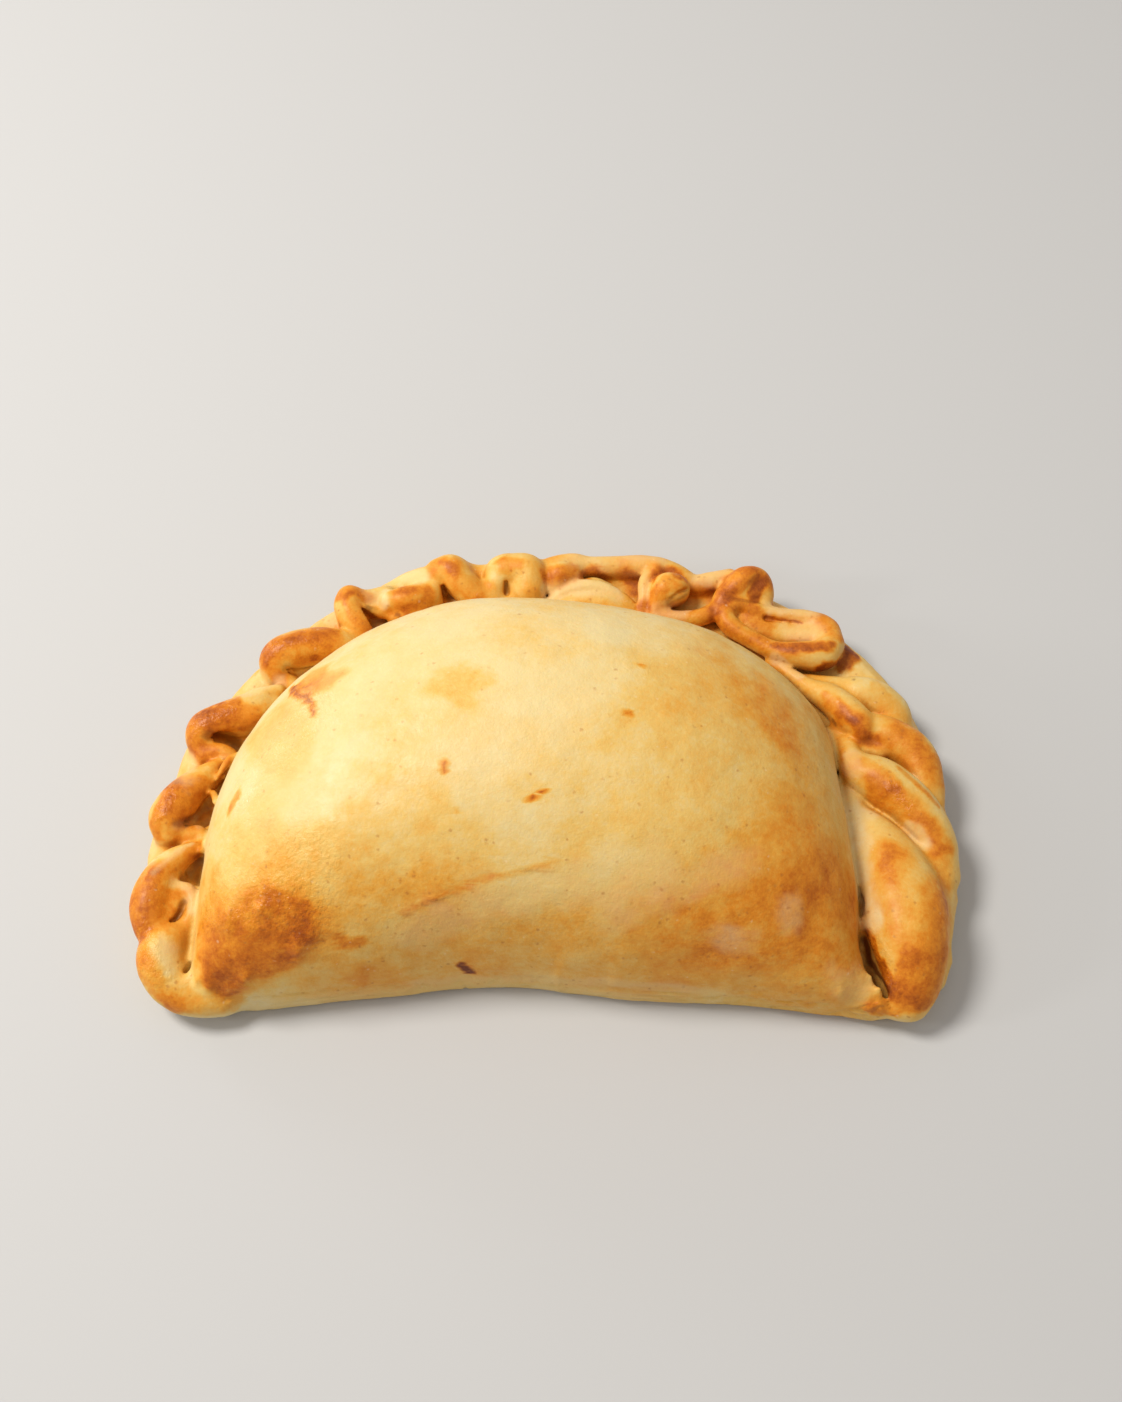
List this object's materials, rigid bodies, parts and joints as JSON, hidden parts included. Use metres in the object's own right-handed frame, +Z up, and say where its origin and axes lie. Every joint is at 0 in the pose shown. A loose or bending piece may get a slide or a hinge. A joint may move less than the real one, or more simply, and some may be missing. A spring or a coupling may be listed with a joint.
{
  "type": "baked empanada",
  "caption": "Half-moon baked hand pie with a smooth domed top and a folded, rope-crimped rim round its curved side, solid inside.",
  "frame": {"origin": "middle of the length and width of the pastry, on the surface it rests on", "axes": "+X along the pastry's length, +Y from the plain front edge towards the crimped back edge, +Z up through the dome"},
  "size_m": [0.1302, 0.0856, 0.0349],
  "materials": {
    "baked_dough": "satin"
  },
  "bodies": {
    "root": {"empanada": "baked_dough"}
  },
  "joints": []
}
